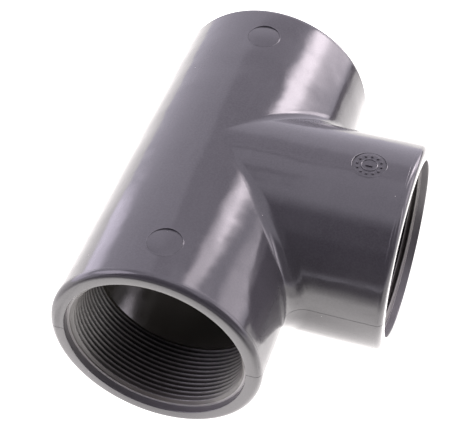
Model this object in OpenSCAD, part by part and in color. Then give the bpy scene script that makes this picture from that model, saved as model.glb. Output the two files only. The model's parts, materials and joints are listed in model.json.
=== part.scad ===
// Threaded PVC tee fitting: an equal tee with three female threaded ports.
// The run lies along Y and the branch points along +X. The origin is the
// point where the two axes cross, and +Z is up.

/* [Body] */
// Outside diameter of the run and of the branch
body_d = 90.6; // [90.0:0.1:94.0]
// Length of the run from mouth to mouth
run_length = 169.6; // [164.0:0.2:190.0]
// Distance from the run's axis to the branch's mouth
branch_reach = 84.8; // [82.0:0.1:95.0]
// Diameter of the waterway through the run
waterway_d = 70.0; // [64.0:0.1:70.4]
// Radius of the rounded outer edge at each mouth
rim_round = 2.8; // [1.0:0.1:3.2]
// Radius of the fillet where the branch meets the run
crotch_round = 8.4; // [4.0:0.1:14.0]

/* [Ports] */
// Diameter of the socket that holds a thread sleeve
socket_d = 77.8; // [77.2:0.1:79.0]
// Depth of the socket behind the mouth
socket_depth = 32.5; // [26.0:0.1:36.0]
// How far a sleeve's outer face sits behind the mouth
sleeve_setback = 3.2; // [1.0:0.1:5.0]
// Minor diameter of the 2 1/2 inch parallel pipe thread
thread_minor_d = 72.226; // [72.0:0.001:73.0]
// Width of the chamfer at both ends of the thread
lead_in = 0.5; // [0.2:0.1:1.0]

/* [Mould marks] */
// Diameter of the flat disc on the crown of each leg
mark_d = 14.2; // [8.0:0.1:16.0]
// Distance of each disc from the centre of the tee
mark_reach = 65.2; // [60.0:0.1:66.0]
// Depth of each disc below the crown
mark_depth = 0.45; // [0.2:0.05:0.8]

/* [Colours] */
// Colour of the moulded body
body_colour = "#5d5a60";
// Colour of the thread sleeves
sleeve_colour = "#757169";

/* [Hidden] */
$fn = 96;

body_r = body_d / 2;
run_half = run_length / 2;
socket_r = socket_d / 2;
waterway_r = waterway_d / 2;
minor_r = thread_minor_d / 2;
sleeve_length = socket_depth - sleeve_setback;
mark_r = mark_d / 2;

// The branch is this much slimmer than the run, so that the two never just touch
crossing_relief = 0.04;
// The branch's waterway is this much slimmer than the run's, as its core pin is
branch_bore_relief = 0.5;
// A cutter runs this far past the surface that it opens
past = 1;

// The fillet is swept in rings along the saddle, each ring an arc of this many steps
fillet_turn = 75;
fillet_rings = 20;
fillet_steps = 5;
// The fillet's arc dips this far under both barrels, so that it blends into them
fillet_dip = 0.2;
// The fillet's root lies this share of the body's radius from the axes
fillet_root = 0.92;

// Turns a shape built along +Z so that it points at a port
module towards_front() { rotate([90, 0, 0]) children(); }
module towards_rear() { rotate([-90, 0, 0]) children(); }
module towards_branch() { rotate([0, 90, 0]) children(); }

// A solid round bar along +Z from 0 to reach, with a rounded outer edge at its end
module rounded_bar(radius, reach, edge) {
    rotate_extrude() union() {
        square([radius, reach - edge]);
        square([radius - edge, reach]);
        translate([radius - edge, reach - edge]) intersection() {
            circle(edge);
            square(edge);
        }
    }
}

// Outer form of the run and of the branch
module barrels() {
    towards_front() rounded_bar(body_r, run_half, rim_round);
    towards_rear() rounded_bar(body_r, run_half, rim_round);
    towards_branch() rounded_bar(body_r - crossing_relief, branch_reach, rim_round);
}

// Point on the fillet's arc: turn is the angle round the saddle, share runs 0 to 1
// from the run's barrel to the branch's
function arc_point(turn, share) =
    let (away = body_r + crotch_round)
    let (centre = away * [cos(turn), -cos(turn), sin(turn)])
    let (to_run = [-cos(turn), 0, -sin(turn)])
    let (to_branch = [0, cos(turn), -sin(turn)])
    let (spread = acos(sin(turn) * sin(turn)))
    let (mix = sin((1 - share) * spread) * to_run + sin(share * spread) * to_branch)
    centre + (crotch_round + fillet_dip) * mix / sin(spread);

// One closed ring of the fillet: its arc, then its root inside both barrels
function fillet_ring(turn) = concat(
    [for (step = [0 : fillet_steps]) arc_point(turn, step / fillet_steps)],
    [fillet_root * body_r * [cos(turn), -cos(turn), sin(turn)]]
);

// The rolled fillet between the run and the branch, on the front side
module crotch_fillet() {
    ring_size = fillet_steps + 2;
    turns = [for (ring = [0 : fillet_rings]) fillet_turn * (2 * ring / fillet_rings - 1)];
    points = [for (turn = turns) each fillet_ring(turn)];
    sides = [for (ring = [0 : fillet_rings - 1], i = [0 : ring_size - 1])
        let (a = ring * ring_size + i, b = ring * ring_size + (i + 1) % ring_size)
        each [[a, a + ring_size, b + ring_size], [a, b + ring_size, b]]];
    first = [for (i = [0 : ring_size - 1]) i];
    last = [for (i = [ring_size - 1 : -1 : 0]) fillet_rings * ring_size + i];
    polyhedron(points, concat(sides, [first, last]));
}

// Socket for a sleeve, cut from the mouth inwards
module socket_cut(reach) {
    translate([0, 0, reach - socket_depth]) cylinder(r = socket_r, h = socket_depth + past);
}

// Shallow flat disc on the crown of a leg
module mark_cut() {
    translate([0, 0, body_r - mark_depth]) cylinder(r = mark_r, h = past + mark_depth);
}

module tee_body() {
    color(body_colour) difference() {
        union() {
            barrels();
            crotch_fillet();
            mirror([0, 1, 0]) crotch_fillet();
        }
        towards_front() cylinder(r = waterway_r, h = run_length + 2 * past, center = true);
        towards_branch() cylinder(r = waterway_r - branch_bore_relief, h = branch_reach + past);
        towards_front() socket_cut(run_half);
        towards_rear() socket_cut(run_half);
        towards_branch() socket_cut(branch_reach);
        translate([0, -mark_reach, 0]) mark_cut();
        translate([0, mark_reach, 0]) mark_cut();
        translate([mark_reach, 0, 0]) mark_cut();
    }
}

// Tube with a threaded bore, drawn at the thread's minor diameter, along +Z
module thread_sleeve(reach) {
    translate([0, 0, reach - socket_depth]) rotate_extrude() polygon([
        [minor_r + lead_in, 0],
        [socket_r, 0],
        [socket_r, sleeve_length],
        [minor_r + lead_in, sleeve_length],
        [minor_r, sleeve_length - lead_in],
        [minor_r, lead_in]
    ]);
}

module front_thread_sleeve() {
    color(sleeve_colour) towards_front() thread_sleeve(run_half);
}

module rear_thread_sleeve() {
    color(sleeve_colour) towards_rear() thread_sleeve(run_half);
}

module branch_thread_sleeve() {
    color(sleeve_colour) towards_branch() thread_sleeve(branch_reach);
}

tee_body();
front_thread_sleeve();
rear_thread_sleeve();
branch_thread_sleeve();
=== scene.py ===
# The moulded body of the tee, the thread sleeves in its three mouths, and the studio.
import json
import math

import bmesh
import bpy
from mathutils import Matrix, Vector


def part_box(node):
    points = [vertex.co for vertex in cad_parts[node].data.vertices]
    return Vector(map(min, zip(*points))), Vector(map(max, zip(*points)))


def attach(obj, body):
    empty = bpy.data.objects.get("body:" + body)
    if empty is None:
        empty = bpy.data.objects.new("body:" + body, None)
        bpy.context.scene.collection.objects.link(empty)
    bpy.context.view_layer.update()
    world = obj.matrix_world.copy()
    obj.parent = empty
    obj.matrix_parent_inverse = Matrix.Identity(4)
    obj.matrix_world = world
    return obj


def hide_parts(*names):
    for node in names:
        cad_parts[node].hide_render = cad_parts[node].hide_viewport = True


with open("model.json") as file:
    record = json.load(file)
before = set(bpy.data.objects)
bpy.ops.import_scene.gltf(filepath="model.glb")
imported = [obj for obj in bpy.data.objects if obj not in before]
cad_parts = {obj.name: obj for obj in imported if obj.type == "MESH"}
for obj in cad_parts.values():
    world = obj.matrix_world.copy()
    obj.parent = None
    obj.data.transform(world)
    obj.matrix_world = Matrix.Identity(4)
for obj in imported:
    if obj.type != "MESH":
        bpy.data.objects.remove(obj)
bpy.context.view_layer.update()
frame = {"record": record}

MM = 0.001
TOUCH = 1e-6                # points closer than this are the same point

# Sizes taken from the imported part
body_low, body_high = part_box("tee_body")
sleeve_low, sleeve_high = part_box("front_thread_sleeve")
RUN_REACH = body_high.y
BRANCH_REACH = body_high.x
BODY_R = body_high.z
SOCKET_R = sleeve_high.z
SLEEVE_SETBACK = sleeve_low.y - body_low.y
SOCKET_DEPTH = sleeve_high.y - body_low.y
MOUNTS = {mount["name"]: mount for mount in frame["record"]["mounts"]}
MINOR_R = MOUNTS["front_port"]["dims"]["r_mm"] * MM
WATERWAY_R = MOUNTS["run_waterway"]["dims"]["r_mm"] * MM

# Sizes of the mould's finer work
ROUND = 192                 # sides of every full circle on the body
RIM_ROUND = 2.8 * MM
RIM_INNER_ROUND = 0.4 * MM
FLASH_WIDTH = 0.13 * MM     # fine ridge where the mould's end plate met the leg
FLASH_HEIGHT = 0.05 * MM
FLASH_BACK = RIM_ROUND + 0.3 * MM
CROTCH_ROUND = 8.4 * MM
CROTCH_ROWS = 8
SEAM_HALF_WIDTH = 0.11 * MM
SEAM_DEPTH = 0.10 * MM
SEAM_CLEAR = 0.1 * MM       # keeps the seam out of the sockets
MARK_R = 7.1 * MM
MARK_REACH = 65.2 * MM
MARK_DEPTH = 0.45 * MM      # how far each disc lies below its leg's crown
MARK_SIDES = 96
RING_SIDES = 8
MARK_GAP = 0.12 * MM        # witness ring round each disc
PLUG_DEPTH = 3 * MM
PLUG_ROUND = 0.06 * MM
CUTTER_RISE = 2 * MM
LIP_AWAY = 0.24 * MM        # fine raised line round each disc
LIP_R = 0.17 * MM
LIP_SUNK = 0.07 * MM
DIAL_DOTS = 12
DIAL_R = 5.1 * MM
DIAL_RING_R = 3.3 * MM
DIAL_RING_WIDTH = 0.32 * MM
DOT_R = 0.55 * MM
DOT_HEIGHT = 0.52 * MM
DOT_ROUND = 0.14 * MM
DOT_SIDES = 16
POINTER_R = 1.9 * MM
THREAD_PITCH = 2.309 * MM
THREAD_HEIGHT = 1.479 * MM
THREAD_CREST = 0.122        # share of a pitch from the middle of a crest to its flank
THREAD_STEPS = 160          # sides of one turn of thread
LEAD_IN = 0.8 * MM
SMOOTH_MATCH = 0.985        # how closely a face has to follow the smooth form
FLOOR_MATCH = 0.02 * MM     # how closely a face has to lie at a disc's level

# Where the discs sit, the branch's one last
MARK_PLACES = (Vector((0, -MARK_REACH, 0)), Vector((0, MARK_REACH, 0)), Vector((MARK_REACH, 0, 0)))

# Each mouth's direction and its distance from the crossing
MOUTHS = (
    (Vector((0, -1, 0)), RUN_REACH),
    (Vector((0, 1, 0)), RUN_REACH),
    (Vector((1, 0, 0)), BRANCH_REACH),
)

# The plastics
PVC_IOR = 1.54
BODY_GREY = (0.046, 0.043, 0.048)
BODY_GREY_DEEP = (0.040, 0.037, 0.042)
BODY_GREY_PALE = (0.056, 0.053, 0.058)
DUST = (0.42, 0.40, 0.38)
GLOSS_ROUGHNESS = 0.08
DISC_ROUGHNESS = 0.16
SINK_DEPTH = 0.42 * MM      # slow waves that the wall sinks into as it cools
RIPPLE_DEPTH = 0.05 * MM
GRAIN_DEPTH = 0.0012 * MM
SCRATCH_DEPTH = 0.0006 * MM
DUST_HEIGHT = 0.03 * MM
# Painted light: the recess walls get the body plastic in a paler colour that stands in for light reaching
# into the mouth
RECESS_PAINTED_LIGHT = (0.088, 0.083, 0.088)
RECESS_PAINTED_LIGHT_DEEP = (0.074, 0.070, 0.074)
BORE_GREY = (0.047, 0.044, 0.038)
BORE_GREY_DEEP = (0.040, 0.037, 0.031)
BORE_ROUGHNESS = 0.14
RECESS_ROUGHNESS = 0.34
THREAD_GREY = (0.065, 0.058, 0.054)
THREAD_GREY_DEEP = (0.054, 0.048, 0.045)
ROOT_SHADE_START = 7 * MM        # painted shade in the thread roots fades out over the first turns behind the mouth
# painted shade: specular level left in the thread roots, dimming what they reflect
ROOT_SHADE_SPECULAR = 0.2
THREAD_WORN = (0.115, 0.109, 0.106)
# Painted light: a pale colour on the sleeve's end face that stands in for light falling on it
END_FACE_PAINTED_LIGHT = (0.275, 0.264, 0.264)
# painted shade: the near-black colour laid into the thread roots
ROOT_SHADE = (0.008, 0.0065, 0.0055)
THREAD_ROUGHNESS = 0.36
TOOL_DEPTH = 0.002 * MM

# The studio, in metres
FLOOR_Z = -BODY_R - 0.0002
FLOOR_R = 0.55
FLOOR_NEAR = 0.07
FLOOR_FAR = 0.30
FLOOR_COLOUR = (1.0, 0.965, 0.955)
FLOOR_GLOW = 2.3
FLOOR_GLOW_FAR = 2.35
ROOM_COLOUR = (1.0, 0.955, 1.09)
ROOM_GLOW = 1.7
SOFTBOX_COLOUR = (1.0, 0.895, 0.965)
LEFT_COLOUR = (1.0, 0.91, 1.10)
CARD_DISTANCE = 1.0
CARD_COLUMNS = 24
CARD_ROWS = 16
CARD_LIFT = 0.001
TABLE_SIDES = 96

# The camera
SENSOR = 36
LENS = 107.01
CAMERA_AZIMUTH = 18.413
CAMERA_ELEVATION = 46.896
CAMERA_ROLL = -0.648
CAMERA_DISTANCE = 0.61857
CAMERA_ASIDE = 0.00702
CAMERA_UP = -0.00529

# Turns that point a shape built along +Z at a port
TOWARDS = {
    "front": Matrix.Rotation(math.radians(90), 4, "X"),
    "rear": Matrix.Rotation(math.radians(-90), 4, "X"),
    "branch": Matrix.Rotation(math.radians(90), 4, "Y"),
}


# ---------------------------------------------------------------- modelling helpers

def deselect_all():
    bpy.ops.object.select_all(action="DESELECT")


def pick(piece):
    """Makes one object the selected and active one."""
    deselect_all()
    piece.select_set(True)
    bpy.context.view_layer.objects.active = piece


def edit(piece, mode="VERT"):
    pick(piece)
    bpy.ops.object.mode_set(mode="EDIT")
    bpy.ops.mesh.select_mode(type=mode)
    bpy.ops.mesh.select_all(action="DESELECT")


def leave():
    bpy.ops.object.mode_set(mode="OBJECT")


def select_verts(piece, test):
    mesh = bmesh.from_edit_mesh(piece.data)
    for vert in mesh.verts:
        vert.select = test(vert.co)
    mesh.select_flush_mode()
    bmesh.update_edit_mesh(piece.data)


def select_edges(piece, test):
    mesh = bmesh.from_edit_mesh(piece.data)
    for edge in mesh.edges:
        edge.select = False
    for edge in mesh.edges:
        if test(edge):
            edge.select = True
    bmesh.update_edit_mesh(piece.data)


def merge_doubles(piece, distance=TOUCH):
    edit(piece)
    bpy.ops.mesh.select_all(action="SELECT")
    bpy.ops.mesh.remove_doubles(threshold=distance)
    bpy.ops.mesh.normals_make_consistent(inside=False)
    leave()


def copy_of(piece, name):
    twin = piece.copy()
    twin.data = piece.data.copy()
    twin.name = name
    twin.data.name = name
    bpy.context.scene.collection.objects.link(twin)
    return twin


def join(pieces):
    deselect_all()
    for piece in pieces:
        piece.select_set(True)
    bpy.context.view_layer.objects.active = pieces[0]
    bpy.ops.object.join()
    return pieces[0]


def remove(piece):
    bpy.data.objects.remove(piece)


def apply_modifiers(piece):
    pick(piece)
    for modifier in list(piece.modifiers):
        bpy.ops.object.modifier_apply(modifier=modifier.name)


def boolean(piece, tool, operation):
    """Cuts with the tool or joins it on, then removes it."""
    step = piece.modifiers.new(operation.lower(), "BOOLEAN")
    step.operation = operation
    step.solver = "EXACT"
    step.object = tool
    apply_modifiers(piece)
    remove(tool)


def near(a, b, gap=TOUCH * 5):
    return abs(a - b) < gap


def shade(piece, angle):
    pick(piece)
    bpy.ops.object.shade_smooth_by_angle(angle=math.radians(angle))


# ---------------------------------------------------------------- tee body

def make_leg(reach):
    """A hollow leg along +Z, from the crossing to its mouth and back down the waterway."""
    seat = reach - SOCKET_DEPTH
    bpy.ops.mesh.primitive_circle_add(vertices=ROUND, radius=BODY_R, location=(0, 0, 0))
    leg = bpy.context.object
    edit(leg)
    bpy.ops.mesh.select_all(action="SELECT")
    radius, height = BODY_R, 0.0
    flash = reach - FLASH_BACK
    rings = [
        (BODY_R, flash - FLASH_WIDTH), (BODY_R, flash), (BODY_R, flash + FLASH_WIDTH), (BODY_R, reach),
        (SOCKET_R, reach), (SOCKET_R, seat), (WATERWAY_R, seat), (WATERWAY_R, 0.0),
    ]
    for next_radius, next_height in rings:
        bpy.ops.mesh.extrude_region_move(
            TRANSFORM_OT_translate={"value": (0, 0, next_height - height)})
        grow = next_radius / radius
        bpy.ops.transform.resize(value=(grow, grow, 1), center_override=(0, 0, 0))
        radius, height = next_radius, next_height
    bpy.ops.mesh.select_mode(type="EDGE")
    for rim_r, rounding, segments in ((BODY_R, RIM_ROUND, 10), (SOCKET_R, RIM_INNER_ROUND, 4)):
        select_edges(leg, lambda edge: all(
            near(vert.co.z, reach) and near(vert.co.xy.length, rim_r) for vert in edge.verts))
        bpy.ops.mesh.bevel(offset=rounding, segments=segments, profile=0.5, affect="EDGES")
    leave()
    return leg


def mitre(leg, planes):
    """Cuts a leg off at each plane through the crossing, and drops what lies beyond it."""
    edit(leg)
    for normal in planes:
        bpy.ops.mesh.select_all(action="SELECT")
        bpy.ops.mesh.bisect(plane_co=(0, 0, 0), plane_no=Vector(normal).normalized(),
                            clear_outer=True, threshold=TOUCH)
    leave()


def on_saddle(place):
    """True on the outer line where two legs meet."""
    return place.x > TOUCH and near(place.x, abs(place.y)) and near(place.xz.length, BODY_R)


def rolled_point(turn, share):
    """Point of the front crotch fillet: turn goes round the saddle, share from run to branch."""
    away = BODY_R + CROTCH_ROUND
    centre = away * Vector((math.cos(turn), -math.cos(turn), math.sin(turn)))
    to_run = Vector((-math.cos(turn), 0, -math.sin(turn)))
    to_branch = Vector((0, math.cos(turn), -math.sin(turn)))
    arc = math.acos(math.sin(turn) ** 2)
    mix = math.sin((1 - share) * arc) * to_run + math.sin(share * arc) * to_branch
    return centre + CROTCH_ROUND * mix / math.sin(arc)


def bridge_crotch(body, side):
    """Bridges the gap between the run and the branch on one side, then rolls the rows round."""

    def on_outside(place):
        return near(place.xz.length, BODY_R) or near(place.yz.length, BODY_R)

    def on_gap(edge):
        ends = [vert.co for vert in edge.verts]
        middle = (ends[0] + ends[1]) / 2
        return (edge.is_boundary and middle.x > 0 and middle.y * side > 0
                and all(on_outside(place) for place in ends))

    edit(body, "EDGE")
    select_edges(body, on_gap)
    bpy.ops.mesh.bridge_edge_loops(number_cuts=CROTCH_ROWS - 1, interpolation="LINEAR")
    mesh = bmesh.from_edit_mesh(body.data)
    clear = 0.001 * CROTCH_ROUND
    for vert in mesh.verts:
        place = vert.co
        outside = place.xz.length > BODY_R + TOUCH / 10 and place.yz.length > BODY_R + TOUCH / 10
        if place.x > 0 and place.y * side > 0 and outside:
            turn = math.asin(max(-1.0, min(1.0, place.z / BODY_R)))
            width = CROTCH_ROUND * math.cos(turn)
            if width > clear:
                share = (place.x - BODY_R * math.cos(turn)) / width
                if 0 < share < 1:
                    target = rolled_point(turn, share)
                    vert.co = Vector((target.x, -side * target.y, target.z))
    bmesh.update_edit_mesh(body.data)
    leave()


def make_body():
    leg = make_leg(RUN_REACH)
    legs = {port: copy_of(leg, port + "_leg") for port in TOWARDS}
    remove(leg)
    for port, turn in TOWARDS.items():
        legs[port].data.transform(turn)
    mitre(legs["front"], [(1, 1, 0)])
    mitre(legs["rear"], [(1, -1, 0)])
    mitre(legs["branch"], [(-1, -1, 0), (-1, 1, 0)])
    apart = 1 + CROTCH_ROUND / BODY_R
    along_run, along_branch = (1, apart, 1), (apart, 1, 1)
    for port, stretch in (("front", along_run), ("rear", along_run), ("branch", along_branch)):
        edit(legs[port])
        select_verts(legs[port], on_saddle)
        bpy.ops.transform.resize(value=stretch, center_override=(0, 0, 0))
        leave()
    body = join([legs["front"], legs["rear"], legs["branch"]])
    body.name = body.data.name = "moulded_body"
    bridge_crotch(body, -1)
    bridge_crotch(body, 1)
    merge_doubles(body)
    return body


def cut_seam(body):
    """Sinks the fine parting line that runs round the body where the mould's halves met."""
    inside = SOCKET_R + SEAM_CLEAR

    def on_seam(place):
        outside = abs(place.x) > inside and (place.x < 0 or abs(place.y) > inside)
        return abs(place.z) < TOUCH and outside

    edit(body, "EDGE")
    select_edges(body, lambda edge: all(on_seam(vert.co) for vert in edge.verts))
    bpy.ops.mesh.bevel(offset=SEAM_HALF_WIDTH, segments=2, profile=0.5, affect="EDGES")
    bpy.ops.mesh.select_mode(type="VERT")
    select_verts(body, on_seam)
    bpy.ops.transform.shrink_fatten(value=-SEAM_DEPTH)
    leave()


def raise_flash(body):
    """Raises the fine ridge that runs round each leg just behind its rounded rim."""

    def on_ridge(place):
        reach = max(abs(place.y) - RUN_REACH, place.x - BRANCH_REACH)
        across = place.yz.length if place.x - BRANCH_REACH == reach else place.xz.length
        return near(reach, -FLASH_BACK) and near(across, BODY_R)

    edit(body, "VERT")
    select_verts(body, on_ridge)
    bpy.ops.transform.shrink_fatten(value=FLASH_HEIGHT)
    leave()


def make_disc(name, place, radius, bottom, top, rounding=0.0, sides=MARK_SIDES):
    """A round plug that stands upright on a leg's crown."""
    bpy.ops.mesh.primitive_cylinder_add(
        vertices=sides, radius=radius, depth=top - bottom,
        location=(place.x, place.y, (top + bottom) / 2))
    disc = bpy.context.object
    disc.name = disc.data.name = name
    bpy.ops.object.transform_apply(location=True)
    if rounding:
        edit(disc, "EDGE")
        select_edges(disc, lambda edge: all(near(vert.co.z, top) for vert in edge.verts))
        bpy.ops.mesh.bevel(offset=rounding, segments=3, profile=0.5, affect="EDGES")
        leave()
    return disc


def make_ring(place, radius, width):
    """A round wire laid flat, radius to its middle."""
    bpy.ops.mesh.primitive_torus_add(
        major_segments=MARK_SIDES, minor_segments=RING_SIDES, major_radius=radius, minor_radius=width,
        location=place)
    ring = bpy.context.object
    bpy.ops.object.transform_apply(location=True)
    return ring


def make_lip(place):
    """The fine raised line that the disc's seat left round it, following the leg's curve."""
    lip = make_ring(place, MARK_R + LIP_AWAY, LIP_R)
    along_x = place.x > 0
    for vert in lip.data.vertices:
        across = vert.co.y if along_x else vert.co.x
        vert.co.z += math.sqrt(BODY_R ** 2 - across ** 2) - LIP_SUNK
    return lip


def make_pointer(centre):
    """The raised arrow in the middle of the dial of dots."""
    bpy.ops.mesh.primitive_cone_add(
        vertices=3, radius1=POINTER_R, radius2=0.85 * POINTER_R, depth=2 * DOT_HEIGHT, location=centre)
    pointer = bpy.context.object
    bpy.ops.object.transform_apply(location=True)
    return pointer


def make_dial(centre):
    """A ring of dots round a plain ring and an arrow."""
    low, high = centre.z - DOT_HEIGHT, centre.z + DOT_HEIGHT
    parts = []
    for hour in range(DIAL_DOTS):
        turn = 2 * math.pi * hour / DIAL_DOTS
        place = centre + DIAL_R * Vector((math.cos(turn), math.sin(turn), 0))
        parts.append(make_disc("dot", place, DOT_R, low, high, DOT_ROUND, DOT_SIDES))
    parts.append(make_ring(centre, DIAL_RING_R, DIAL_RING_WIDTH))
    parts.append(make_pointer(centre))
    return join(parts)


def add_marks(body):
    """Sets a flat mould disc into the crown of each leg, and a dial on the branch's one."""
    floor = BODY_R - MARK_DEPTH
    top = BODY_R + CUTTER_RISE
    cutters = [make_disc("cutter", place, MARK_R, floor - MARK_GAP, top) for place in MARK_PLACES]
    boolean(body, join(cutters), "DIFFERENCE")
    foot = floor - PLUG_DEPTH
    plugs = [make_disc("plug", place, MARK_R - MARK_GAP, foot, floor, PLUG_ROUND) for place in MARK_PLACES]
    boolean(body, join(plugs), "UNION")
    boolean(body, join([make_lip(place) for place in MARK_PLACES]), "UNION")
    boolean(body, make_dial(MARK_PLACES[-1] + Vector((0, 0, floor))), "UNION")


def crotch_centre(place):
    """Centre of the rolling ball that touches both legs nearest to this point."""
    side = -1 if place.y < 0 else 1
    low, high = -math.pi / 2, math.pi / 2
    away = BODY_R + CROTCH_ROUND
    for _ in range(40):
        turn = (low + high) / 2
        miss = (math.sin(turn) * (place.x + abs(place.y)) - math.cos(turn) * place.z
                - away * math.cos(turn) * math.sin(turn))
        if miss > 0:
            high = turn
        else:
            low = turn
    return away * Vector((math.cos(turn), side * math.cos(turn), math.sin(turn)))


def true_normal(place, facing):
    """Normal of the smooth outer form at a point, or None where the point isn't on it."""
    found = []
    for axis, reach in MOUTHS:
        along = place.dot(axis)
        outward = place - along * axis
        if along < -TOUCH or outward.length < BODY_R - RIM_ROUND:
            continue
        if along > reach - RIM_ROUND:
            from_ring = (outward.length - BODY_R + RIM_ROUND) * outward.normalized()
            from_ring += (along - reach + RIM_ROUND) * axis
            if near(from_ring.length, RIM_ROUND, 4 * TOUCH):
                found.append(from_ring.normalized())
        elif near(outward.length, BODY_R, 4 * TOUCH):
            found.append(outward.normalized())
    if place.x > 0 and abs(place.y) > TOUCH:
        from_surface = crotch_centre(place) - place
        if near(from_surface.length, CROTCH_ROUND, 6 * TOUCH):
            found.append(from_surface.normalized())
    best = max(found, key=lambda normal: normal.dot(facing), default=None)
    return best if best is not None and best.dot(facing) > SMOOTH_MATCH else None


def set_true_normals(body):
    """Gives the outer form the normals of its true cylinders, roundings and fillets."""
    shade(body, 30)
    mesh = body.data
    normals = [(0.0, 0.0, 0.0)] * len(mesh.loops)
    for face in mesh.polygons:
        over = [near(face.center.x, place.x, MARK_R) and near(face.center.y, place.y, MARK_R)
                for place in MARK_PLACES]
        on_floor = near(face.center.z, BODY_R - MARK_DEPTH, FLOOR_MATCH)
        if any(over) and on_floor and face.normal.z > 0.9999:
            continue
        for corner in face.loop_indices:
            place = mesh.vertices[mesh.loops[corner].vertex_index].co
            if place.length > SOCKET_R:
                normal = true_normal(place, face.normal)
                if normal is not None:
                    normals[corner] = tuple(normal)
    mesh.normals_split_custom_set(normals)


# ---------------------------------------------------------------- thread sleeves

def thread_outline():
    """One turn of the thread's section, as distance along the bore and radius, crest to crest."""
    crest = (0.0, 0.072, THREAD_CREST)              # shares of a pitch, from a crest's middle
    root = (0.5 - THREAD_CREST, 0.428, 0.5)         # the same up to a root's middle
    sunk = (0.0, 0.065, 0.128)                      # shares of the height that both are rounded by
    rise = [(share, MINOR_R + drop * THREAD_HEIGHT) for share, drop in zip(crest, sunk)]
    rise += [(share, MINOR_R + (1 - drop) * THREAD_HEIGHT) for share, drop in zip(root, reversed(sunk))]
    fall = [(1 - share, radius) for share, radius in reversed(rise[:-1])]
    return [(share * THREAD_PITCH, radius) for share, radius in rise + fall]


def make_sleeve():
    """A sleeve along +Z with a right-hand thread inside, its inner end at 0."""
    length = SOCKET_DEPTH - SLEEVE_SETBACK
    turns = math.ceil(length / THREAD_PITCH) + 2
    outline = thread_outline()
    wire = bpy.data.meshes.new("thread")
    wire.from_pydata([(radius, 0, along - THREAD_PITCH) for along, radius in outline],
                     [(i, i + 1) for i in range(len(outline) - 1)], [])
    sleeve = bpy.data.objects.new("thread", wire)
    bpy.context.scene.collection.objects.link(sleeve)
    screw = sleeve.modifiers.new("thread", "SCREW")
    screw.axis = "Z"
    screw.angle = 2 * math.pi
    screw.screw_offset = THREAD_PITCH
    screw.iterations = turns
    screw.steps = screw.render_steps = THREAD_STEPS
    screw.use_merge_vertices = True
    screw.merge_threshold = TOUCH
    apply_modifiers(sleeve)
    merge_doubles(sleeve)
    edit(sleeve)
    for height, normal in ((0.0, (0, 0, -1)), (length, (0, 0, 1))):
        bpy.ops.mesh.select_all(action="SELECT")
        bpy.ops.mesh.bisect(
            plane_co=(0, 0, height), plane_no=normal, clear_outer=True, threshold=TOUCH / 10)
    mesh = bmesh.from_edit_mesh(sleeve.data)
    for vert in mesh.verts:
        from_end = min(vert.co.z, length - vert.co.z)
        lead = LEAD_IN if vert.co.z > length / 2 else LEAD_IN / 2
        least = MINOR_R + lead - from_end
        radius = vert.co.xy.length
        if radius < least:
            vert.co.x *= least / radius
            vert.co.y *= least / radius
    bmesh.update_edit_mesh(sleeve.data)
    bpy.ops.mesh.select_mode(type="EDGE")
    for height in (0.0, length):
        select_edges(sleeve, lambda edge: edge.is_boundary and all(
            near(vert.co.z, height) for vert in edge.verts))
        bpy.ops.mesh.extrude_region_move(TRANSFORM_OT_translate={"value": (0, 0, 0)})
        mesh = bmesh.from_edit_mesh(sleeve.data)
        for vert in mesh.verts:
            if vert.select:
                grow = SOCKET_R / vert.co.xy.length
                vert.co = Vector((vert.co.x * grow, vert.co.y * grow, height))
        bmesh.update_edit_mesh(sleeve.data)
    select_edges(sleeve, lambda edge: edge.is_boundary and all(
        near(vert.co.xy.length, SOCKET_R) for vert in edge.verts))
    bpy.ops.mesh.bridge_edge_loops()
    leave()
    merge_doubles(sleeve, TOUCH / 10)
    shade(sleeve, 40)
    return sleeve


def place_sleeves():
    """Copies the sleeve into each mouth, each turned so that its thread starts elsewhere."""
    pattern = make_sleeve()
    sleeves = []
    for port, start in (("front", 200), ("rear", 75), ("branch", 310)):
        reach = BRANCH_REACH if port == "branch" else RUN_REACH
        sleeve = copy_of(pattern, port + "_threads")
        seat = Matrix.Translation((0, 0, reach - SOCKET_DEPTH))
        sleeve.data.transform(TOWARDS[port] @ seat @ Matrix.Rotation(math.radians(start), 4, "Z"))
        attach(sleeve, "root")
        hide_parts(port + "_thread_sleeve")
        sleeves.append(sleeve)
    remove(pattern)
    return sleeves


body = make_body()
cut_seam(body)
add_marks(body)
raise_flash(body)
set_true_normals(body)
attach(body, "root")
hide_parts("tee_body")
sleeves = place_sleeves()


# ---------------------------------------------------------------- plastics

def start_material(name, colour, roughness):
    """A moulded plastic with its nodes cleared to the shader, read in the piece's own coordinates."""
    material = bpy.data.materials.new(name)
    material.use_nodes = True
    tree = material.node_tree
    shader = tree.nodes["Principled BSDF"]
    shader.inputs["Base Color"].default_value = (*colour, 1)
    shader.inputs["Roughness"].default_value = roughness
    shader.inputs["IOR"].default_value = PVC_IOR
    places = tree.nodes.new("ShaderNodeTexCoord").outputs["Object"]
    return material, tree, shader, places


def noise(tree, places, size, detail=2.0, stretch=(1, 1, 1), turn=(0, 0, 0)):
    """Cloudy pattern whose blotches are about this size, drawn out along an axis where asked."""
    mapping = tree.nodes.new("ShaderNodeMapping")
    mapping.inputs["Rotation"].default_value = [math.radians(angle) for angle in turn]
    mapping.inputs["Scale"].default_value = [1 / (size * length) for length in stretch]
    tree.links.new(places, mapping.inputs["Vector"])
    texture = tree.nodes.new("ShaderNodeTexNoise")
    texture.inputs["Scale"].default_value = 1.0
    texture.inputs["Detail"].default_value = detail
    tree.links.new(mapping.outputs["Vector"], texture.inputs["Vector"])
    return texture.outputs["Fac"]


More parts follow.
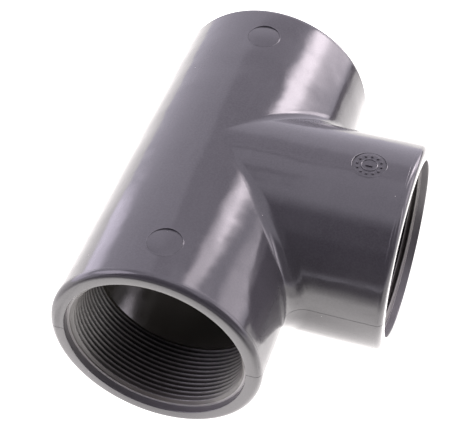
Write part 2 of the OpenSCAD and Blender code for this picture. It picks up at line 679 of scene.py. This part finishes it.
def spread(tree, value, low, high, out_low, out_high):
    """Carries a pattern's low to high over to a new low to high, and holds it there beyond them."""
    node = tree.nodes.new("ShaderNodeMapRange")
    node.interpolation_type = "SMOOTHSTEP"
    ends = {"From Min": low, "From Max": high, "To Min": out_low, "To Max": out_high}
    for socket, number in ends.items():
        node.inputs[socket].default_value = number
    tree.links.new(value, node.inputs["Value"])
    return node.outputs["Result"]


def math_node(tree, operation, first, second):
    node = tree.nodes.new("ShaderNodeMath")
    node.operation = operation
    for socket, value in zip(node.inputs, (first, second)):
        if isinstance(value, (int, float)):
            socket.default_value = value
        else:
            tree.links.new(value, socket)
    return node.outputs["Value"]


def blend(tree, share, under, over):
    """Mixes two colours, each a plain colour or another pattern's result."""
    node = tree.nodes.new("ShaderNodeMix")
    node.data_type = "RGBA"
    for socket, colour in ((node.inputs[6], under), (node.inputs[7], over)):
        if isinstance(colour, tuple):
            socket.default_value = (*colour, 1)
        else:
            tree.links.new(colour, socket)
    tree.links.new(share, node.inputs[0])
    return node.outputs[2]


def relief(tree, height, depth, below=None):
    """Raises the surface by the pattern, depth being the rise from its 0 to its 1."""
    node = tree.nodes.new("ShaderNodeBump")
    node.inputs["Strength"].default_value = 1.0
    node.inputs["Distance"].default_value = depth
    tree.links.new(height, node.inputs["Height"])
    if below is not None:
        tree.links.new(below, node.inputs["Normal"])
    return node.outputs["Normal"]


def specks(tree, places, apart, size, share):
    """1 on scattered grains of dust and 0 elsewhere."""
    mapping = tree.nodes.new("ShaderNodeMapping")
    mapping.inputs["Scale"].default_value = (1 / apart,) * 3
    tree.links.new(places, mapping.inputs["Vector"])
    cells = tree.nodes.new("ShaderNodeTexVoronoi")
    cells.inputs["Scale"].default_value = 1.0
    tree.links.new(mapping.outputs["Vector"], cells.inputs["Vector"])
    split = tree.nodes.new("ShaderNodeSeparateColor")
    tree.links.new(cells.outputs["Color"], split.inputs["Color"])
    chosen = spread(tree, split.outputs["Red"], 1 - share, 1 - share + 0.01, 0, 1)
    grain = spread(tree, cells.outputs["Distance"], size / apart * 0.6, size / apart, 1, 0)
    return math_node(tree, "MULTIPLY", chosen, grain)


def make_body_pvc(name, grey=BODY_GREY, deep=BODY_GREY_DEEP, pale=BODY_GREY_PALE,
                  dullness=GLOSS_ROUGHNESS):
    """Dark grey moulded PVC: clouded pigment, slow sink waves, faint handling marks and dust."""
    material, tree, shader, places = start_material(name, grey, dullness)
    pigment = spread(tree, noise(tree, places, 26 * MM, 4), 0.3, 0.7, 0, 1)
    grain = noise(tree, places, 0.7 * MM, 3)
    flow = noise(tree, places, 3 * MM, 3, stretch=(1, 7, 1))
    colour = blend(tree, pigment, deep, grey)
    colour = blend(tree, spread(tree, grain, 0.35, 0.65, 0, 0.5), colour, pale)
    colour = blend(tree, spread(tree, flow, 0.55, 0.75, 0, 0.35), colour, pale)
    dust = specks(tree, places, 5 * MM, 0.19 * MM, 0.2)
    colour = blend(tree, dust, colour, DUST)
    tree.links.new(colour, shader.inputs["Base Color"])
    handled = spread(tree, noise(tree, places, 9 * MM, 6), 0.48, 0.66, 0, 0.07)
    patchy = spread(tree, noise(tree, places, 1.6 * MM, 4), 0.3, 0.7, 0, 0.05)
    rough = math_node(tree, "ADD", handled, patchy)
    rough = math_node(tree, "ADD", rough, dullness)
    rough = math_node(tree, "MAXIMUM", rough, dust)
    tree.links.new(rough, shader.inputs["Roughness"])
    normal = relief(tree, noise(tree, places, 24 * MM, 1), SINK_DEPTH)
    normal = relief(tree, noise(tree, places, 7 * MM, 1), RIPPLE_DEPTH, normal)
    normal = relief(tree, grain, GRAIN_DEPTH, normal)
    hairs = noise(tree, places, 0.16 * MM, 2, stretch=(1, 45, 6), turn=(12, 25, 31))
    scratch = spread(tree, hairs, 0.68, 0.76, 1, 0)
    normal = relief(tree, scratch, SCRATCH_DEPTH, normal)
    normal = relief(tree, dust, DUST_HEIGHT, normal)
    tree.links.new(normal, shader.inputs["Normal"])
    return material


def make_thread_pvc(name, axis):
    """The threads' plastic: satin, with paler worn crests and tool rings, painted shade that darkens the
    roots deeper than the first turns and dims their specular level, and a painted lighter end face.
    """
    material, tree, shader, places = start_material(name, THREAD_GREY, THREAD_ROUGHNESS)
    split = tree.nodes.new("ShaderNodeSeparateXYZ")
    tree.links.new(places, split.inputs["Vector"])
    across = [split.outputs[other] for other in "XYZ" if other != axis]
    squares = [math_node(tree, "MULTIPLY", value, value) for value in across]
    radius = math_node(tree, "SQRT", math_node(tree, "ADD", *squares), 0)
    pigment = spread(tree, noise(tree, places, 11 * MM, 4), 0.3, 0.7, 0, 1)
    colour = blend(tree, pigment, THREAD_GREY_DEEP, THREAD_GREY)
    # Painted shade: the roots darken from a tenth to over half the thread's height in, fading out towards
    # the mouth
    root = spread(tree, radius, MINOR_R + 0.10 * THREAD_HEIGHT, MINOR_R + 0.55 * THREAD_HEIGHT, 0, 1)
    patchy = spread(tree, noise(tree, places, 2 * MM, 3), 0.2, 0.6, 0.85, 1)
    along = math_node(tree, "ABSOLUTE", split.outputs[axis], 0)
    mouth = (RUN_REACH if axis == "Y" else BRANCH_REACH) - SLEEVE_SETBACK
    root = math_node(tree, "MULTIPLY", root, spread(tree, along, mouth - ROOT_SHADE_START, mouth, 1, 0.1))
    colour = blend(tree, math_node(tree, "MULTIPLY", root, patchy), colour, ROOT_SHADE)
    # Painted shade: the roots' specular level drops under the same mask
    tree.links.new(spread(tree, root, 0, 1, 0.5, ROOT_SHADE_SPECULAR), shader.inputs["Specular IOR Level"])
    crest = spread(tree, radius, MINOR_R + 0.02 * THREAD_HEIGHT, MINOR_R + 0.2 * THREAD_HEIGHT, 1, 0)
    worn = spread(tree, noise(tree, places, 3 * MM, 4), 0.35, 0.6, 0.35, 0.9)
    wear = math_node(tree, "MULTIPLY", crest, worn)
    colour = blend(tree, wear, colour, THREAD_WORN)
    # Painted light: the end face beyond the thread's root is made pale to stand in for the light falling
    # on it
    face = spread(tree, radius, MINOR_R + 1.02 * THREAD_HEIGHT, MINOR_R + 1.08 * THREAD_HEIGHT, 0, 1)
    colour = blend(tree, face, colour, END_FACE_PAINTED_LIGHT)
    dust = specks(tree, places, 4 * MM, 0.16 * MM, 0.2)
    colour = blend(tree, dust, colour, DUST)
    tree.links.new(colour, shader.inputs["Base Color"])
    smooth, dull = THREAD_ROUGHNESS - 0.05, THREAD_ROUGHNESS + 0.08
    rough = spread(tree, noise(tree, places, 1.2 * MM, 4), 0.3, 0.7, smooth, dull)
    rough = math_node(tree, "MAXIMUM", rough, dust)
    tree.links.new(rough, shader.inputs["Roughness"])
    squash = [40, 40, 40]
    squash["XYZ".index(axis)] = 1
    rings = noise(tree, places, 0.12 * MM, 2, stretch=squash)
    normal = relief(tree, rings, TOOL_DEPTH)
    normal = relief(tree, noise(tree, places, 0.5 * MM, 3), GRAIN_DEPTH, normal)
    tree.links.new(normal, shader.inputs["Normal"])
    return material


def on_disc(face):
    low, high = BODY_R - 1.2 * MARK_DEPTH, BODY_R - 0.2 * MARK_DEPTH
    over = min((face.center.xy - place.xy).length for place in MARK_PLACES) < MARK_R
    return over and face.normal.z > 0.9 and low < face.center.z < high


def in_recess(face):
    """True on the short wall between a mouth's rim and the sleeve set back inside it."""
    for axis, reach in MOUTHS:
        along = face.center.dot(axis)
        if reach - SOCKET_DEPTH - TOUCH < along < reach - RIM_INNER_ROUND:
            if near((face.center - along * axis).length, SOCKET_R, 0.1 * MM):
                return True
    return False


def in_waterway(face):
    """True on the bores behind the sleeves."""
    centre = face.center
    inside = min(centre.xz.length, centre.yz.length) < SOCKET_R
    behind_run = abs(centre.y) < RUN_REACH - SOCKET_DEPTH + TOUCH
    return inside and behind_run and centre.x < BRANCH_REACH - SOCKET_DEPTH + TOUCH


def finish_plastics():
    """Gives the body's discs, recesses and bores their own finish, the recess walls a paler colour that is
    painted light, and the sleeves the threads' one.
    """
    for plastic in (
            make_body_pvc("body_pvc"),
            make_body_pvc("disc_pvc", dullness=DISC_ROUGHNESS),
            # painted light: the recess walls' paler copy of the body plastic
            make_body_pvc("recess_painted_light_pvc", RECESS_PAINTED_LIGHT, RECESS_PAINTED_LIGHT_DEEP, RECESS_PAINTED_LIGHT, RECESS_ROUGHNESS),
            make_body_pvc("bore_pvc", BORE_GREY, BORE_GREY_DEEP, BORE_GREY, BORE_ROUGHNESS)):
        body.data.materials.append(plastic)
    for face in body.data.polygons:
        if on_disc(face):
            face.material_index = 1
        # painted light on the recess walls
        elif in_recess(face):
            face.material_index = 2
        elif in_waterway(face):
            face.material_index = 3
    along_run = make_thread_pvc("thread_pvc_run", "Y")
    along_branch = make_thread_pvc("thread_pvc_branch", "X")
    for sleeve, plastic in zip(sleeves, (along_run, along_run, along_branch)):
        sleeve.data.materials.append(plastic)


# ---------------------------------------------------------------- studio

def towards(azimuth, elevation):
    """Direction out of the object, azimuth 0 at the front mouth and 90 at the branch."""
    turn, lift = math.radians(azimuth), math.radians(elevation)
    return Vector((math.sin(turn) * math.cos(lift), -math.cos(turn) * math.cos(lift), math.sin(lift)))


def glow(name, colour, strength):
    material = bpy.data.materials.new(name)
    material.use_nodes = True
    tree = material.node_tree
    tree.nodes.clear()
    shader = tree.nodes.new("ShaderNodeEmission")
    shader.inputs["Color"].default_value = (*colour, 1)
    shader.inputs["Strength"].default_value = strength
    output = tree.nodes.new("ShaderNodeOutputMaterial")
    tree.links.new(shader.outputs[0], output.inputs["Surface"])
    return material, tree, shader, output


def standing(azimuths, elevations):
    """Point of a card that stands round the object, by its shares across and up."""
    def place(across, up):
        azimuth = azimuths[0] + (azimuths[1] - azimuths[0]) * across
        elevation = elevations[0] + (elevations[1] - elevations[0]) * up
        return CARD_DISTANCE * towards(azimuth, elevation)
    return place


def lying(azimuths, reaches):
    """Point of a card that lies just over the table, by its shares round and outwards."""
    def place(across, out):
        azimuth = azimuths[0] + (azimuths[1] - azimuths[0]) * across
        reach = reaches[0] + (reaches[1] - reaches[0]) * out
        flat = reach * towards(azimuth, 0)
        return Vector((flat.x, flat.y, FLOOR_Z + CARD_LIFT))
    return place


def make_card(name, place, strength=0.0, cover=1.0, soft=(0.15, 0.15), colour=(1, 1, 1)):
    """A card that fades out to its edges: a light where it has a strength, or a black one."""
    ups = [row / CARD_ROWS for row in range(CARD_ROWS + 1)]
    acrosses = [column / CARD_COLUMNS for column in range(CARD_COLUMNS + 1)]
    corners = [(across, up) for up in ups for across in acrosses]
    faces = []
    for row in range(CARD_ROWS):
        for column in range(CARD_COLUMNS):
            corner = row * len(acrosses) + column
            above = corner + len(acrosses)
            faces.append((corner, corner + 1, above + 1, above))
    mesh = bpy.data.meshes.new(name)
    mesh.from_pydata([place(*corner) for corner in corners], [], faces)
    layer = mesh.uv_layers.new(name="across")
    for loop in mesh.loops:
        layer.data[loop.index].uv = corners[loop.vertex_index]
    card = bpy.data.objects.new(name, mesh)
    bpy.context.scene.collection.objects.link(card)
    material, tree, shader, output = glow(name, colour, strength)
    split = tree.nodes.new("ShaderNodeSeparateXYZ")
    tree.links.new(tree.nodes.new("ShaderNodeTexCoord").outputs["UV"], split.inputs["Vector"])
    fades = []
    for along, edge in zip("XY", soft):
        fades.append(spread(tree, split.outputs[along], 0.0, edge, 0, 1))
        fades.append(spread(tree, split.outputs[along], 1 - edge, 1.0, 1, 0))
    fade = math_node(tree, "MULTIPLY", math_node(tree, "MULTIPLY", fades[0], fades[1]),
                     math_node(tree, "MULTIPLY", fades[2], fades[3]))
    clear = tree.nodes.new("ShaderNodeBsdfTransparent")
    if strength > 0:
        tree.links.new(math_node(tree, "MULTIPLY", fade, strength), shader.inputs["Strength"])
        both = tree.nodes.new("ShaderNodeAddShader")
        tree.links.new(clear.outputs[0], both.inputs[0])
        tree.links.new(shader.outputs[0], both.inputs[1])
    else:
        both = tree.nodes.new("ShaderNodeMixShader")
        tree.links.new(math_node(tree, "MULTIPLY", fade, cover), both.inputs["Fac"])
        tree.links.new(clear.outputs[0], both.inputs[1])
        tree.links.new(shader.outputs[0], both.inputs[2])
    tree.links.new(both.outputs[0], output.inputs["Surface"])
    mesh.materials.append(material)
    card.visible_camera = False
    return card


def make_table():
    """The pale floor: a white lit table, glowing almost evenly, a touch dimmer under the object than
    further out.
    """
    bpy.ops.mesh.primitive_circle_add(
        vertices=TABLE_SIDES, radius=FLOOR_R, fill_type="NGON", location=(0, 0, FLOOR_Z))
    table = bpy.context.object
    table.name = table.data.name = "floor"
    bpy.ops.object.transform_apply(location=True)
    material, tree, shader, output = glow("floor", FLOOR_COLOUR, FLOOR_GLOW)
    places = tree.nodes.new("ShaderNodeTexCoord").outputs["Object"]
    length = tree.nodes.new("ShaderNodeVectorMath")
    length.operation = "LENGTH"
    tree.links.new(places, length.inputs[0])
    bright = spread(tree, length.outputs["Value"], FLOOR_NEAR, FLOOR_FAR, FLOOR_GLOW, FLOOR_GLOW_FAR)
    tree.links.new(bright, shader.inputs["Strength"])
    table.data.materials.append(material)
    return table


def make_studio():
    """An even room, with black cards that hide parts of it and soft lights before it."""
    world = bpy.data.worlds.new("studio")
    bpy.context.scene.world = world
    world.use_nodes = True
    backdrop = world.node_tree.nodes["Background"]
    backdrop.inputs["Color"].default_value = (*ROOM_COLOUR, 1)
    backdrop.inputs["Strength"].default_value = ROOM_GLOW
    make_table()
    for name, place, cover, soft in (
            ("front_dark", standing((-46, 52), (-5, 46)), 0.97, (0.08, 0.2)),
            ("front_dark_top", standing((-46, 52), (28, 77)), 0.86, (0.15, 0.36)),
            ("right_dark", standing((46, 88), (-5, 50)), 0.85, (0.12, 0.15)),
            ("front_dark_floor", lying((-52, 52), (0.13, 0.93)), 0.94, (0.2, 0.25)),
            ("right_gap", lying((110, 158), (0.35, 0.80)), 0.85, (0.1, 0.15)),
            ("crown_grey", standing((150, 207), (34, 60)), 0.3, (0.07, 0.25)),
            ("left_grey", standing((-140, -60), (42, 76)), 0.35, (0.2, 0.3)),
            ("boom_grey", standing((-188, -118), (57.5, 62.5)), 0.4, (0.2, 0.35)),
            ("boom_grey_high", standing((-150, -50), (75, 80)), 0.45, (0.2, 0.35))):
        make_card(name, place, cover=cover, soft=soft)
    for name, place, strength, soft, colour in (
            ("strip_light", standing((134, 159), (-5, 64)), 4.6, (0.35, 0.12), SOFTBOX_COLOUR),
            ("strip_core", standing((139, 157), (17, 48)), 7.2, (0.35, 0.3), SOFTBOX_COLOUR),
            ("right_light", standing((104, 133), (-4, 34)), 2.5, (0.2, 0.3), SOFTBOX_COLOUR),
            ("right_edge_light", standing((91, 101), (0, 46)), 4.0, (0.3, 0.3), SOFTBOX_COLOUR),
            ("left_light", standing((-129, -60), (-12, 18)), 2.1, (0.05, 0.35), LEFT_COLOUR),
            ("left_front_light", standing((-92, -38), (14, 60)), 3.0, (0.2, 0.25), LEFT_COLOUR),
            ("rear_table_glow", lying((112, 166), (0.09, 0.30)), 0.6, (0.2, 0.3), FLOOR_COLOUR),
            ("front_table_glow", lying((-60, 110), (0.075, 0.20)), 1.5, (0.15, 0.3), FLOOR_COLOUR)):
        make_card(name, place, strength, soft=soft, colour=colour)


# ---------------------------------------------------------------- camera

def make_camera():
    """Sets the camera above the front mouth, a little round towards the branch."""
    data = bpy.data.cameras.new("camera")
    camera = bpy.data.objects.new("camera", data)
    bpy.context.scene.collection.objects.link(camera)
    bpy.context.scene.camera = camera
    data.sensor_width = SENSOR
    data.lens = LENS
    data.clip_start = 0.01
    data.clip_end = 20
    back = towards(CAMERA_AZIMUTH, CAMERA_ELEVATION)
    level = Vector((0, 0, 1)).cross(back).normalized()
    tilt = Matrix.Rotation(math.radians(CAMERA_ROLL), 3, back)
    right = tilt @ level
    up = back.cross(right)
    turned = Matrix((right, up, back)).transposed().to_4x4()
    aside = CAMERA_ASIDE * right + CAMERA_UP * up
    turned.translation = CAMERA_DISTANCE * back + aside
    camera.matrix_world = turned


finish_plastics()
make_studio()
make_camera()
bpy.context.scene.view_settings.view_transform = "Standard"
